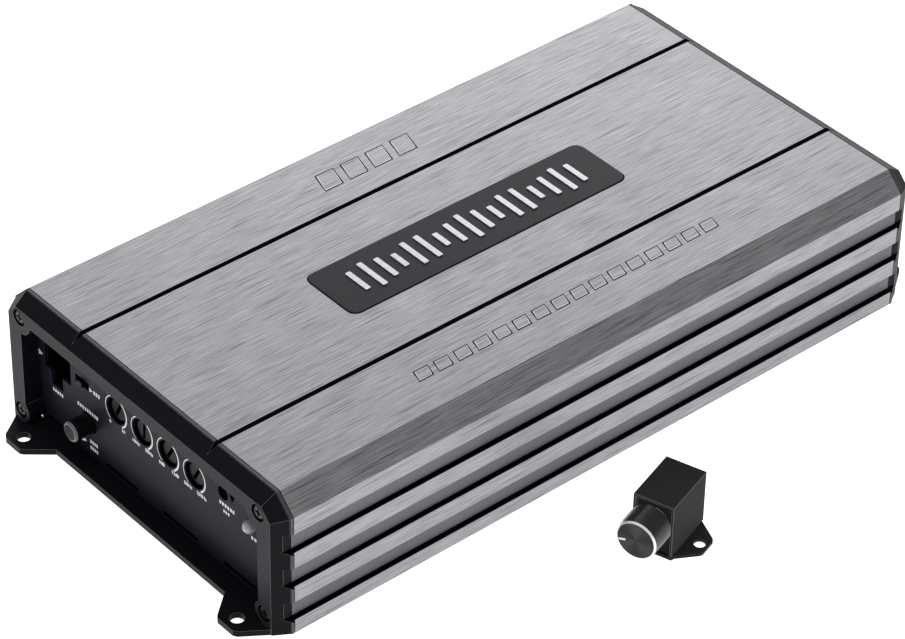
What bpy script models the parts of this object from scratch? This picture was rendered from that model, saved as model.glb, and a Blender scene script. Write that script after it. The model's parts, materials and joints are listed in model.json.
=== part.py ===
"""Car amplifier with its wired level control, as separate parts.

The amplifier is a finned aluminium tunnel, closed by a sliding bottom plate and by two cast end caps with
mounting feet. Behind the caps sit a control panel (front, -X) and a connector panel (rear, +X).
Every size below is in millimetres, and the helpers turn it into metres. +X runs along the housing, from the
control panel to the connector panel, +Z is up, and the origin is the middle of the underside.
"""

import math

import bmesh
import bpy
from mathutils import Matrix, Vector

MM = 0.001
GAP = 0.3  # between two pieces that touch on the real object

# Housing
BODY_LENGTH = 293.0
BODY_WIDTH = 160.0
BODY_HEIGHT = 60.0
BODY_CHAMFER = 7.5
CEILING_Z = 55.5
WALL_INNER_Y = 72.5
CEILING_CHAMFER = 11.5
GROOVE_Y = 39.2
GROOVE_WIDTH = 2.2
GROOVE_DEPTH = 2.0

# Side fins, counted down from the top one
FIN_COUNT = 3
FIN_PITCH = 15.4
FIN_BAND_TOP_Z = 45.1
FIN_BAND_HEIGHT = 7.3
FIN_BAND_DEPTH = 1.7
FIN_SLOT_DEPTH = 3.5
FIN_LAND_DROP = 8.3

# Rails inside the side walls, for the bottom plate and the main board
PLATE_RAIL_Z = (1.0, 3.4)
PLATE_RAIL_Y = 74.3
SCREW_BOSS_Y = 69.1
BOARD_RAIL_Z = (11.6, 13.8)
BOARD_RAIL_Y = 73.9

# End caps
LIP_LENGTH = 1.2
LIP_STEP = 0.35
CAP_DEPTH = 7.24
RIM_HALF_WIDTH = 76.0
RIM_TOP_Z = 55.7
RIM_CHAMFER = 4.6
FLANGE_THICKNESS = 2.5
FLANGE_DEPTH = 7.5
TONGUE_HALF_WIDTH = 68.5
TONGUE_DEPTH = 1.2
OPENING_HALF_WIDTH = 68.8
OPENING_TOP_Z = 50.2
TOP_SCREW = (69.4, 51.7)
TOP_BOSS_RADIUS = 6.9
LOW_SCREW = (71.8, 7.3)
LOW_BOSS_RADIUS = 5.0
FOOT_Y = 63.4
FOOT_REACH = 17.6
FOOT_TIP_HALF = 5.0
FOOT_BASE_HALF = 13.4
FOOT_HOLE_X = 12.4
FOOT_HOLE_RADIUS = 2.75

# Cap screws
SCREW_HEAD_RADIUS = 3.1
SCREW_HEAD_HEIGHT = 1.5
SCREW_SHANK_RADIUS = 1.3
SCREW_HOLE_RADIUS = 1.6
SCREW_BITE = 8.0
COUNTERBORE_RADIUS = 3.5
COUNTERBORE_DEPTH = 2.1

# Both panels
PANEL_THICKNESS = 1.0
PANEL_BOTTOM_Z = 2.8
PANEL_INSET = 0.3

# Control panel: places across (Y) and up (Z)
DIAL_NAMES = ("gain", "subsonic", "bass", "low_pass")
DIAL_FIRST_Y = 22.1
DIAL_PITCH = 15.25
DIAL_Z = 34.2
DIAL_HOLE_RADIUS = 5.4
DIAL_RADIUS = 4.7
DIAL_SLOT = (6.8, 1.4)
DIAL_LEAN_DEG = (27, 4, 32, 29)  # each slot's lean from upright, its top towards -Y
SOCKET_Y = (49.6, 65.6)
SOCKET_Z = (28.6, 39.4)
SOCKET_KEY_Y = (54.8, 61.8)
SOCKET_KEY_Z = 22.6
SOCKET_WALL = 1.2
SOCKET_DEPTH = 10.0
SLIDER_YZ = (42.5, 34.8)
SLIDER_SLOT = (8.2, 3.6)
SLIDER_LEVER = (3.0, 2.6)
BUTTON_YZ = (39.2, 18.0)
BUTTON_RADIUS = 4.1
BUTTON_REACH = 8.8
JACK_YZ = (-40.1, 37.0)
JACK_HOLE_RADIUS = 2.8
JACK_BORE_RADIUS = 1.8
KEYHOLE_OFFSET = 5.1
LED_YZ = (-55.9, 32.7)
LED_RADIUS = 2.5
VENT_COUNT = 4
VENT_PITCH = 35.1
VENT_CENTRE_Y = 2.9
VENT_SIZE = (20.1, 2.5)
VENT_BOTTOM_Z = 3.1
CONTROL_BOARD_DEPTH = 16.3

# Badge
BADGE_SIZE = (133.0, 28.8)
BADGE_CORNER = 4.0
BADGE_Z = (59.4, 60.4)
BADGE_BAR_TOP_Z = 60.9
BADGE_BAR_COUNT = 17
BADGE_BAR_PITCH = 6.6
BADGE_BAR_WIDTH = 2.4

# Main board and what stands on it
BOARD_THICKNESS = 1.6
BOARD_X = (-131.0, 132.0)
BOARD_Z = BOARD_RAIL_Z[0] + GAP
BOARD_TOP_Z = BOARD_Z + BOARD_THICKNESS
TRANSFORMER_XY = (-72.0, 0.0)
TRANSFORMER_RADII = (12.0, 24.0)
TRANSFORMER_HEIGHT = 22.0
INDUCTOR_XY = (92.0, -24.0)
INDUCTOR_RADII = (8.0, 17.0)
INDUCTOR_HEIGHT = 17.0
CAPACITOR_X = -12.0
CAPACITOR_Y = (-20.0, 20.0)
CAPACITOR_RADIUS = 12.5
CAPACITOR_HEIGHT = 37.0
TRANSISTOR_COUNT = 6
TRANSISTOR_PITCH = 30.0
TRANSISTOR_SIZE = (10.2, 4.6, 15.6)
CLAMP_BAR_HEIGHT = 7.0
CLAMP_BAR_THICKNESS = 3.0

# Rear terminals, fuses
TERMINAL_COUNT = 5
TERMINAL_PITCH = 12.4
TERMINAL_CENTRE_Y = 26.0
TERMINAL_X = (133.0, 160.5)
TERMINAL_TOP_Z = 31.0
CHAMBER_SIZE = (8.4, 9.0)
CHAMBER_FLOOR_Z = 15.4
CHAMBER_X = 147.2
TERMINAL_SCREW_X = 156.2
TERMINAL_SCREW_RADIUS = 2.6
TERMINAL_BORE_RADIUS = 2.9
TERMINAL_SCREW_LENGTH = 6.0
CLAMP_PAD_SIZE = (7.6, 7.6, 1.4)
FUSE_Z = (19.0, 27.6)
FUSE_CENTRE_Y = -42.0
FUSE_BODY = (11.0, 19.0, 5.0)
FUSE_SEAT_DEPTH = 2.5
FUSE_BLADE = (9.0, 5.0, 0.8)
FUSE_BLADE_SPREAD = 6.6
FUSE_HOLDER_X = (133.0, 150.0)
FUSE_HOLDER_HALF_WIDTH = 12.5

# Level control, in its own frame: knob towards -X, origin in the middle of its base
REMOTE_PLACE = (-11.3, -123.7)
REMOTE_TURN = math.radians(18.3)
REMOTE_SIZE = (24.2, 16.4, 24.1)
SHEET = 1.0
BASE_SHEET = 1.2
EAR_REACH = 8.2
EAR_CENTRE_X = 0.4
EAR_BASE_HALF = 11.0
EAR_TIP_HALF = 3.6
EAR_HOLE_RADIUS = 2.25
EAR_HOLE_OUT = 4.8
FRONT_PLATE_X = (-10.6, -9.6)
REAR_PLATE_X = (9.6, 10.6)
UPRIGHT_TOP_Z = 22.6
KNOB_Z = 14.7
KNOB_RADIUS = 8.0
KNOB_X = (-24.5, -12.6)
KNOB_CHAMFER = 0.9
SHAFT_RADIUS = 2.0
SHAFT_LENGTH = 17.6
SHAFT_START_X = -4.2
BUSHING_RADIUS = 3.3
CABLE_SOCKET_Z = 9.0

FRONT_END = -1
REAR_END = 1
ROUND_SIDES = 24
SMALL_SIDES = 16


# ---------------------------------------------------------------- outlines


def arc(centre, radius, start_deg, end_deg, steps):
    """Points along an arc, both ends included."""
    points = []
    for step in range(steps + 1):
        angle = math.radians(start_deg + (end_deg - start_deg) * step / steps)
        points.append((centre[0] + radius * math.cos(angle), centre[1] + radius * math.sin(angle)))
    return points


def rounded_rectangle(width, height, radius, steps=4):
    """A rectangle about the origin with arcs at its corners."""
    x = width / 2 - radius
    y = height / 2 - radius
    corners = ((x, y, 0), (-x, y, 90), (-x, -y, 180), (x, -y, 270))
    points = []
    for corner_x, corner_y, start in corners:
        points += arc((corner_x, corner_y), radius, start, start + 90, steps)
    return points


def cross(reach, half_width):
    """A plus sign about the origin."""
    r, w = reach, half_width
    upper = [(r, w), (w, w), (w, r), (-w, r), (-w, w), (-r, w)]
    return upper + [(-x, -y) for x, y in upper]


def mirrored(half):
    """A closed outline from the half of it at positive first coordinates."""
    return half + [(-a, b) for a, b in reversed(half)]


# ------------------------------------------------------------------ shapes


class Shape:
    """Solids gathered in one mesh. Sizes come in as millimetres."""

    AXES = {"X": (1, 2, 0), "Y": (0, 2, 1), "Z": (0, 1, 2)}

    def __init__(self):
        self.mesh = bmesh.new()

    def box(self, low, high):
        low, high = Vector(low), Vector(high)
        size = high - low
        place = Matrix.Translation((low + high) / 2 * MM) @ Matrix.Diagonal((*(size * MM), 1))
        bmesh.ops.create_cube(self.mesh, size=1, matrix=place)
        return self

    def rod(self, axis, centre, radius, low, high, sides=SMALL_SIDES):
        """A cylinder along X or Z. centre holds the two coordinates across it."""
        turn = Matrix.Rotation(math.pi / 2, 4, "Y") if axis == "X" else Matrix()
        place = Vector((0, 0, 0))
        first, second, along = self.AXES[axis]
        place[first] = centre[0]
        place[second] = centre[1]
        place[along] = (low + high) / 2
        bmesh.ops.create_cone(
            self.mesh,
            cap_ends=True,
            segments=sides,
            radius1=radius * MM,
            radius2=radius * MM,
            depth=(high - low) * MM,
            matrix=Matrix.Translation(place * MM) @ turn,
        )
        return self

    def prism(self, axis, outline, low, high):
        """An outline in the plane across an axis, extruded from low to high along it."""
        return self.loft(axis, [(low, outline), (high, outline)])

    def loft(self, axis, sections):
        """Sections of equal point count, each (place along the axis, outline), joined one to the next."""
        first, second, along = self.AXES[axis]
        rings = []
        for place, outline in sections:
            ring = []
            for a, b in outline:
                point = Vector((0, 0, 0))
                point[first], point[second], point[along] = a, b, place
                ring.append(self.mesh.verts.new(point * MM))
            rings.append(ring)
        self.mesh.faces.new(rings[0])
        self.mesh.faces.new(rings[-1])
        for near, far in zip(rings, rings[1:]):
            for i in range(len(near)):
                j = (i + 1) % len(near)
                self.mesh.faces.new((near[i], near[j], far[j], far[i]))
        return self

    def as_mesh(self, name):
        bmesh.ops.recalc_face_normals(self.mesh, faces=self.mesh.faces)
        data = bpy.data.meshes.new(name)
        self.mesh.to_mesh(data)
        self.mesh.free()
        return data


def place(obj, collection, at=(0, 0, 0), turn=(0, 0, 0), parent=None):
    collection.objects.link(obj)
    obj.location = Vector(at) * MM
    obj.rotation_euler = turn
    obj.parent = parent
    return obj


def part(name, shape, finish, at=(0, 0, 0), turn=(0, 0, 0), parent=None):
    """One named sub-part."""
    obj = bpy.data.objects.new(name, shape.as_mesh(name))
    obj.data.materials.append(finish)
    return place(obj, PARTS, at, turn, parent)


def turned(name, profile, finish, sides=ROUND_SIDES, at=(0, 0, 0), turn=(0, 0, 0), parent=None, ring=False):
    """A sub-part turned about its own Z. The profile is (radius, height) from the top down."""
    data = bpy.data.meshes.new(name)
    edges = [(i, i + 1) for i in range(len(profile) - 1)]
    if ring:  # the profile closes on itself, clear of the axis
        edges.append((len(profile) - 1, 0))
    data.from_pydata([(r * MM, 0, z * MM) for r, z in profile], edges, [])
    data.materials.append(finish)
    obj = place(bpy.data.objects.new(name, data), PARTS, at, turn, parent)
    screw = obj.modifiers.new("turn", "SCREW")
    screw.steps = sides
    screw.render_steps = sides
    screw.use_merge_vertices = True
    screw.merge_threshold = 0.00001
    screw.use_smooth_shade = True
    return obj


def boolean(target, shape, operation, label):
    helper = bpy.data.objects.new(f"{target.name}.{label}", shape.as_mesh(label))
    place(helper, CUTTERS, parent=target)
    helper.hide_render = True
    helper.display_type = "WIRE"
    modifier = target.modifiers.new(label, "BOOLEAN")
    modifier.operation = operation
    modifier.solver = "EXACT"
    modifier.object = helper
    return target


def cut(target, shape, label="cut"):
    return boolean(target, shape, "DIFFERENCE", label)


def join(target, shape, label="join"):
    return boolean(target, shape, "UNION", label)


def soften(obj, width, segments=1):
    """Rounds the object's edges."""
    bevel = obj.modifiers.new("edges", "BEVEL")
    bevel.width = width * MM
    bevel.segments = segments
    bevel.limit_method = "ANGLE"
    bevel.angle_limit = math.radians(40)
    return obj


# ----------------------------------------------------------------- finishes


def finish(name, colour, roughness, metallic=0.0):
    made = bpy.data.materials.new(name)
    made.use_nodes = True
    shader = made.node_tree.nodes["Principled BSDF"]
    shader.inputs["Base Color"].default_value = (*colour, 1)
    shader.inputs["Roughness"].default_value = roughness
    shader.inputs["Metallic"].default_value = metallic
    made.diffuse_color = (*colour, 1)
    return made


# ------------------------------------------------------------------ housing


def fin_tops():
    """The height at which each fin's recessed band starts."""
    return [FIN_BAND_TOP_Z - FIN_PITCH * i for i in range(FIN_COUNT)]


def heatsink_outline():
    """The tunnel's section in Y and Z, open at the bottom."""
    half_width = BODY_WIDTH / 2
    half_groove = GROOVE_WIDTH / 2
    floor_z = BODY_HEIGHT - GROOVE_DEPTH
    half = [
        (GROOVE_Y - half_groove, BODY_HEIGHT),
        (GROOVE_Y - half_groove + 0.5, floor_z),
        (GROOVE_Y + half_groove - 0.1, floor_z),
        (GROOVE_Y + half_groove, BODY_HEIGHT),
        (half_width - BODY_CHAMFER, BODY_HEIGHT),
        (half_width, BODY_HEIGHT - BODY_CHAMFER),
    ]
    band_y = half_width - FIN_BAND_DEPTH
    slot_y = half_width - FIN_SLOT_DEPTH
    for top in fin_tops():
        land_z = top - FIN_LAND_DROP
        half += [
            (half_width, top),
            (band_y, top),
            (band_y, top - FIN_BAND_HEIGHT),
            (slot_y, top - FIN_BAND_HEIGHT),
            (slot_y, land_z - FIN_SLOT_DEPTH),
            (half_width, land_z),
        ]
    half += [
        (half_width, 0),
        (WALL_INNER_Y, 0),
        (WALL_INNER_Y, PLATE_RAIL_Z[0]),
        (PLATE_RAIL_Y, PLATE_RAIL_Z[0]),
        (PLATE_RAIL_Y, PLATE_RAIL_Z[1]),
        (SCREW_BOSS_Y, PLATE_RAIL_Z[1]),
        (SCREW_BOSS_Y, BOARD_RAIL_Z[0]),
        (BOARD_RAIL_Y, BOARD_RAIL_Z[0]),
        (BOARD_RAIL_Y, BOARD_RAIL_Z[1]),
        (WALL_INNER_Y, BOARD_RAIL_Z[1]),
        (WALL_INNER_Y, CEILING_Z - CEILING_CHAMFER),
        (WALL_INNER_Y - CEILING_CHAMFER, CEILING_Z),
    ]
    return mirrored(half)


def cap_screw_places():
    """The four (Y, Z) places of an end cap's screws."""
    return [(side * y, z) for y, z in (TOP_SCREW, LOW_SCREW) for side in (-1, 1)]


def heatsink():
    end = BODY_LENGTH / 2 - GAP / 2
    shell = part("heatsink_shell", Shape().prism("X", heatsink_outline(), -end, end), ALUMINIUM)
    pocket = [(BADGE_SIZE[0] + 2 * GAP), (BADGE_SIZE[1] + 2 * GAP)]
    cutter = Shape().prism("Z", rounded_rectangle(*pocket, BADGE_CORNER), BADGE_Z[0] - GAP, BODY_HEIGHT + 2)
    for place_yz in cap_screw_places():
        for side in (FRONT_END, REAR_END):
            low, high = sorted((side * (end + 1), side * (end - SCREW_BITE - 1)))
            cutter.rod("X", place_yz, SCREW_HOLE_RADIUS, low, high, sides=12)
    return cut(shell, cutter, "holes")


def bottom_plate():
    """A sheet whose raised edges slide in the side walls' rails."""
    top_z = PLATE_RAIL_Z[1] - GAP
    half = [
        (WALL_INNER_Y - 1.1, 0),
        (WALL_INNER_Y - 1.1, PLATE_RAIL_Z[0] + GAP),
        (PLATE_RAIL_Y - GAP, PLATE_RAIL_Z[0] + GAP),
        (PLATE_RAIL_Y - GAP, top_z),
        (SCREW_BOSS_Y + 0.5, top_z),
        (SCREW_BOSS_Y + 0.5, 1.8),
    ]
    end = BODY_LENGTH / 2 - PANEL_INSET - PANEL_THICKNESS - GAP
    return part("bottom_plate", Shape().prism("X", mirrored(half), -end, end), BLACK_METAL)


def cap_section(half_width, top_z, chamfer):
    """An end cap's outline in Y and Z."""
    return mirrored([(half_width - chamfer, top_z), (half_width, top_z - chamfer), (half_width, 0)])


def cap_opening():
    """The inverted-U rim's inner outline, with round lobes for the screws."""
    top_half_angle = math.degrees(math.asin((TOP_SCREW[1] - OPENING_TOP_Z) / TOP_BOSS_RADIUS))
    side_angle = math.degrees(math.acos((TOP_SCREW[0] - OPENING_HALF_WIDTH) / TOP_BOSS_RADIUS))
    low_side_angle = math.degrees(math.acos((LOW_SCREW[0] - OPENING_HALF_WIDTH) / LOW_BOSS_RADIUS))
    low_floor_angle = math.degrees(math.asin((LOW_SCREW[1] - FLANGE_THICKNESS) / LOW_BOSS_RADIUS))
    half = arc(TOP_SCREW, TOP_BOSS_RADIUS, 180 + top_half_angle, 180 + side_angle, 5)
    half += arc(LOW_SCREW, LOW_BOSS_RADIUS, 180 - low_side_angle, 180 + low_floor_angle, 8)
    return mirrored(half)


def flange_outline():
    """The flange seen from above: a foot on each side, and a tongue that reaches under the panel."""
    tip = -FOOT_REACH
    nip = 1.0  # the foot's cut corners
    outer = FOOT_Y + FOOT_TIP_HALF
    inner = FOOT_Y - FOOT_TIP_HALF
    half = [
        (FOOT_Y - FOOT_BASE_HALF, -FLANGE_DEPTH),
        (inner - nip * 0.6, tip + nip * 0.8),
        (inner + nip * 0.6, tip),
        (outer - nip, tip),
        (outer + nip * 0.6, tip + nip),
        (BODY_WIDTH / 2, -0.8),
        (BODY_WIDTH / 2, -GAP / 2),
        (TONGUE_HALF_WIDTH, -GAP / 2),
        (TONGUE_HALF_WIDTH, TONGUE_DEPTH),
    ]
    return [(x, y) for y, x in mirrored(half)]


def end_cap(name, end):
    """The front cap, which the rear one repeats half a turn round. Its joint with the tunnel is at X = 0."""
    width, height = BODY_WIDTH / 2, BODY_HEIGHT
    sections = [
        (-GAP / 2, cap_section(width, height, BODY_CHAMFER)),
        (-LIP_LENGTH, cap_section(width, height, BODY_CHAMFER)),
        (-LIP_LENGTH - 0.15, cap_section(width - LIP_STEP, height - LIP_STEP, BODY_CHAMFER)),
        (-CAP_DEPTH, cap_section(RIM_HALF_WIDTH, RIM_TOP_Z, RIM_CHAMFER)),
    ]
    turn = (0, 0, math.pi if end == REAR_END else 0)
    cap = part(name, Shape().loft("X", sections), CAST_BLACK, at=(end * BODY_LENGTH / 2, 0, 0), turn=turn)
    join(cap, Shape().prism("Z", flange_outline(), 0, FLANGE_THICKNESS), "flange")
    cut(cap, Shape().prism("X", cap_opening(), -CAP_DEPTH - 2, 1), "opening")

    shallow = Shape()
    deep = Shape()
    for side in (-1, 1):
        for top in fin_tops():
            slot_z = top - FIN_BAND_HEIGHT
            near_y, far_y = sorted((side * (width - FIN_BAND_DEPTH), side * (width + 1)))
            shallow.box((-4.6, near_y, slot_z), (0.2, far_y, top))
            wedge = [(0.2, slot_z + 0.2), (0.2, slot_z - 2.4), (-4.2, slot_z + 0.2)]
            near_y, far_y = sorted((side * (width - FIN_SLOT_DEPTH), side * (width + 1)))
            deep.prism("Y", wedge, near_y, far_y)
        notch = [(0.2, side * GROOVE_Y - 1.3), (0.2, side * GROOVE_Y + 1.3), (-5.4, side * GROOVE_Y)]
        shallow.prism("Z", notch, BODY_HEIGHT - 2.8, BODY_HEIGHT + 1)
        shallow.rod("Z", (-FOOT_HOLE_X, side * FOOT_Y), FOOT_HOLE_RADIUS, -1, FLANGE_THICKNESS + 1)
    for place_yz in cap_screw_places():
        shallow.rod("X", place_yz, COUNTERBORE_RADIUS, -CAP_DEPTH - 1, -CAP_DEPTH + COUNTERBORE_DEPTH)
        deep.rod("X", place_yz, SCREW_HOLE_RADIUS, -CAP_DEPTH - 1, 1, sides=12)
    cut(cap, shallow, "pockets")
    return cut(cap, deep, "slots")


def cap_screw(name, end, place_yz):
    """A pan-head screw with a cross recess, its head towards its own +Z."""
    head_z = -COUNTERBORE_DEPTH + GAP
    shank_end = -CAP_DEPTH - SCREW_BITE + 0.8
    profile = [
        (0, head_z + SCREW_HEAD_HEIGHT),
        (SCREW_HEAD_RADIUS - 0.9, head_z + SCREW_HEAD_HEIGHT),
        (SCREW_HEAD_RADIUS, head_z + SCREW_HEAD_HEIGHT - 0.7),
        (SCREW_HEAD_RADIUS, head_z),
        (SCREW_SHANK_RADIUS, head_z),
        (SCREW_SHANK_RADIUS, shank_end + 1),
        (0, shank_end),
    ]
    at = (end * (BODY_LENGTH / 2 + CAP_DEPTH), place_yz[0], place_yz[1])
    screw = turned(name, profile, BLACK_STEEL, sides=SMALL_SIDES, at=at, turn=(0, end * math.pi / 2, 0))
    recess = Shape().prism("Z", cross(1.7, 0.4), head_z + 0.5, head_z + SCREW_HEAD_HEIGHT + 1)
    return cut(screw, recess, "recess")


def badge():
    """The name plate's place on the lid, with a plain row of level-meter bars."""
    plate = Shape().prism("Z", rounded_rectangle(*BADGE_SIZE, BADGE_CORNER), *BADGE_Z)
    obj = part("badge_plate", plate, DARK_PLASTIC)
    bars = Shape()
    middle = (BADGE_BAR_COUNT - 1) / 2
    for i in range(BADGE_BAR_COUNT):
        x = (i - middle) * BADGE_BAR_PITCH
        half = 3.4 + 4.6 * abs(math.cos(0.9 * (i - middle)))
        half_bar = BADGE_BAR_WIDTH / 2
        bars.box((x - half_bar, -half, BADGE_Z[1] - 0.3), (x + half_bar, half, BADGE_BAR_TOP_Z))
    return join(obj, bars, "bars")


# ------------------------------------------------------------ control panel


def panel_outline():
    """What fills the tunnel's end, clear of its screw bosses."""
    side_y = WALL_INNER_Y - GAP
    boss_y = SCREW_BOSS_Y - GAP
    rail_z = BOARD_RAIL_Z[1] + GAP
    half = [
        (boss_y, PANEL_BOTTOM_Z),
        (boss_y, rail_z),
        (side_y, rail_z),
        (side_y, CEILING_Z - CEILING_CHAMFER - GAP),
        (side_y - CEILING_CHAMFER, CEILING_Z - GAP),
    ]
    return mirrored(half)


def panel(name, end):
    """A flat panel behind an end cap's rim."""
    outer = end * (BODY_LENGTH / 2 - PANEL_INSET)
    low, high = sorted((outer, outer - end * PANEL_THICKNESS))
    return part(name, Shape().prism("X", panel_outline(), low, high), PANEL_BLACK)


def depth(value):
    """The X of a place this far inside the control panel's face."""
    return -BODY_LENGTH / 2 + PANEL_INSET + value


def dial_y(index):
    return DIAL_FIRST_Y - DIAL_PITCH * index


def socket_outline(grow=0.0):
    """The input socket's mouth, with its key below."""
    return [
        (SOCKET_Y[0] - grow, SOCKET_Z[0] - grow),
        (SOCKET_KEY_Y[0] - grow, SOCKET_Z[0] - grow),
        (SOCKET_KEY_Y[0] - grow, SOCKET_KEY_Z - grow),
        (SOCKET_KEY_Y[1] + grow, SOCKET_KEY_Z - grow),
        (SOCKET_KEY_Y[1] + grow, SOCKET_Z[0] - grow),
        (SOCKET_Y[1] + grow, SOCKET_Z[0] - grow),
        (SOCKET_Y[1] + grow, SOCKET_Z[1] + grow),
        (SOCKET_Y[0] - grow, SOCKET_Z[1] + grow),
    ]


def control_panel():
    face = panel("control_panel", FRONT_END)
    low, high = depth(-1), depth(PANEL_THICKNESS + 1)
    holes = Shape().prism("X", socket_outline(), low, high)
    for i in range(len(DIAL_NAMES)):
        holes.rod("X", (dial_y(i), DIAL_Z), DIAL_HOLE_RADIUS, low, high, sides=ROUND_SIDES)
    holes.rod("X", BUTTON_YZ, BUTTON_RADIUS + GAP, low, high, sides=ROUND_SIDES)
    holes.rod("X", JACK_YZ, JACK_HOLE_RADIUS, low, high)
    holes.rod("X", LED_YZ, LED_RADIUS + GAP, low, high)
    slot_y, slot_z = SLIDER_SLOT[0] / 2, SLIDER_SLOT[1] / 2
    y, z = SLIDER_YZ
    holes.box((low, y - slot_y, z - slot_z), (high, y + slot_y, z + slot_z))
    y, z = JACK_YZ[0] - KEYHOLE_OFFSET, JACK_YZ[1]
    holes.prism("X", [(y - 1.6, z + 2.2), (y + 1.4, z + 2.2), (y, z - 1.2)], low, high)
    for i in range(VENT_COUNT):
        y = VENT_CENTRE_Y + (i - (VENT_COUNT - 1) / 2) * VENT_PITCH
        half = VENT_SIZE[0] / 2
        holes.box((low, y - half, VENT_BOTTOM_Z), (high, y + half, VENT_BOTTOM_Z + VENT_SIZE[1]))
    return cut(face, holes, "holes")


def dial(name, index):
    """A trimmer's rotor with a screwdriver slot. Its axis is its own Z, which faces the user."""
    profile = [(0, 4.4), (DIAL_RADIUS - 0.5, 4.4), (DIAL_RADIUS, 3.9), (DIAL_RADIUS, 0), (0, 0)]
    at = (depth(5.6), dial_y(index), DIAL_Z)
    rotor = turned(name, profile, BLACK_PLASTIC, at=at, turn=(0, -math.pi / 2, 0))
    lean = math.radians(DIAL_LEAN_DEG[index])
    half_length, half_width = DIAL_SLOT[0] / 2, DIAL_SLOT[1] / 2
    outline = [
        (x * math.cos(lean) + y * math.sin(lean), y * math.cos(lean) - x * math.sin(lean))
        for x, y in (
            (-half_length, -half_width),
            (half_length, -half_width),
            (half_length, half_width),
            (-half_length, half_width),
        )
    ]
    return cut(rotor, Shape().prism("Z", outline, 2.4, 5.4), "slot")


def trimmer_body(name, index):
    y = dial_y(index)
    half = 6.4
    low = (depth(5.9), y - half, DIAL_Z - half)
    high = (depth(CONTROL_BOARD_DEPTH - GAP), y + half, DIAL_Z + half)
    return soften(part(name, Shape().box(low, high), DARK_PLASTIC), 0.5)


def input_socket():
    low, high = depth(PANEL_THICKNESS + GAP), depth(CONTROL_BOARD_DEPTH - GAP)
    body = Shape().prism("X", socket_outline(SOCKET_WALL), low, high)
    socket = part("input_socket", body, BLACK_PLASTIC)
    end = depth(PANEL_THICKNESS + GAP + SOCKET_DEPTH)
    return cut(socket, Shape().prism("X", socket_outline(), depth(0), end), "mouth")


def filter_switch():
    y, z = SLIDER_YZ
    back = depth(CONTROL_BOARD_DEPTH - GAP)
    body = Shape().box((depth(PANEL_THICKNESS + GAP), y - 5.3, z - 3.9), (back, y + 5.3, z + 3.9))
    housing = part("filter_switch_body", body, BLACK_STEEL)
    channel = Shape().box((depth(PANEL_THICKNESS), y - 4.1, z - 1.8), (depth(7.4), y + 4.1, z + 1.8))
    cut(housing, channel, "channel")
    half_y, half_z = SLIDER_LEVER[0] / 2, SLIDER_LEVER[1] / 2
    lever = Shape().box((-1.4, -half_y, -half_z), (6.9, half_y, half_z))
    return soften(part("filter_switch_slider", lever, BLACK_PLASTIC, at=(depth(0), y, z)), 0.25)


def level_switch():
    """A push button that travels into its switch."""
    y, z = BUTTON_YZ
    front = BUTTON_REACH
    profile = [
        (0, front),
        (BUTTON_RADIUS - 0.6, front),
        (BUTTON_RADIUS, front - 0.6),
        (BUTTON_RADIUS, -2.4),
        (1.5, -2.4),
        (1.5, -11.5),
        (0, -11.5),
    ]
    turned("level_button", profile, BLACK_PLASTIC, at=(depth(0), y, z), turn=(0, -math.pi / 2, 0))
    low = (depth(5.4), y - 6, BOARD_TOP_Z + GAP)
    high = (depth(CONTROL_BOARD_DEPTH - GAP), y + 6, z + 5)
    switch = part("level_switch_body", Shape().box(low, high), DARK_PLASTIC)
    return cut(switch, Shape().rod("X", BUTTON_YZ, 1.8, depth(4.4), depth(14.8)), "bore")


def remote_socket():
    y, z = JACK_YZ
    low = (depth(PANEL_THICKNESS + GAP), y - 5.6, z - 5.4)
    high = (depth(CONTROL_BOARD_DEPTH - GAP), y + 5.6, z + 5.4)
    socket = part("remote_socket", Shape().box(low, high), BLACK_PLASTIC)
    return cut(socket, Shape().rod("X", JACK_YZ, JACK_BORE_RADIUS, depth(1), depth(14.6)), "bore")


def status_led():
    """A light pipe with a domed front."""
    dome = arc((0, 0.9), LED_RADIUS, 90, 0, 6)
    back = -CONTROL_BOARD_DEPTH + GAP
    collar = -PANEL_THICKNESS - GAP
    profile = [(max(r, 0), z) for r, z in dome]
    profile += [(LED_RADIUS, collar), (LED_RADIUS + 0.6, collar), (LED_RADIUS + 0.6, collar - 1)]
    profile += [(LED_RADIUS, collar - 1), (LED_RADIUS, back), (0, back)]
    at = (depth(0), LED_YZ[0], LED_YZ[1])
    return turned("status_led", profile, CLEAR, sides=SMALL_SIDES, at=at, turn=(0, -math.pi / 2, 0))


# ------------------------------------------------------------------- inside


def boards():
    low_x, high_x = BOARD_X
    half = BOARD_RAIL_Y - GAP
    part("main_board", Shape().box((low_x, -half, BOARD_Z), (high_x, half, BOARD_TOP_Z)), BOARD_GREEN)
    face = depth(CONTROL_BOARD_DEPTH)
    low, high = (face, -62, BOARD_TOP_Z + GAP), (face + BOARD_THICKNESS, 68, 46)
    part("control_board", Shape().box(low, high), BOARD_GREEN)


def toroid(name, at_xy, radii, height, finish_of):
    """A wound ring core lying on the main board."""
    inner, outer = radii
    round_off = 4.0
    profile = [
        (outer - round_off, height),
        (outer, height - round_off),
        (outer, round_off),
        (outer - round_off, 0),
        (inner + round_off, 0),
        (inner, round_off),
        (inner, height - round_off),
        (inner + round_off, height),
    ]
    return turned(name, profile, finish_of, at=(*at_xy, BOARD_TOP_Z + GAP), ring=True)


def capacitor(name, y):
    """An electrolytic can with a crimped neck near its foot."""
    r, top = CAPACITOR_RADIUS, CAPACITOR_HEIGHT
    lid = [(0, top - 0.6), (r - 2, top - 0.6), (r - 1.2, top), (r, top - 0.8)]
    neck = [(r, 5), (r - 0.8, 4.2), (r, 3.4)]
    profile = lid + neck + [(r, 0), (0, 0)]
    return turned(name, profile, SLEEVE, at=(CAPACITOR_X, y, BOARD_TOP_Z + GAP))


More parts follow.
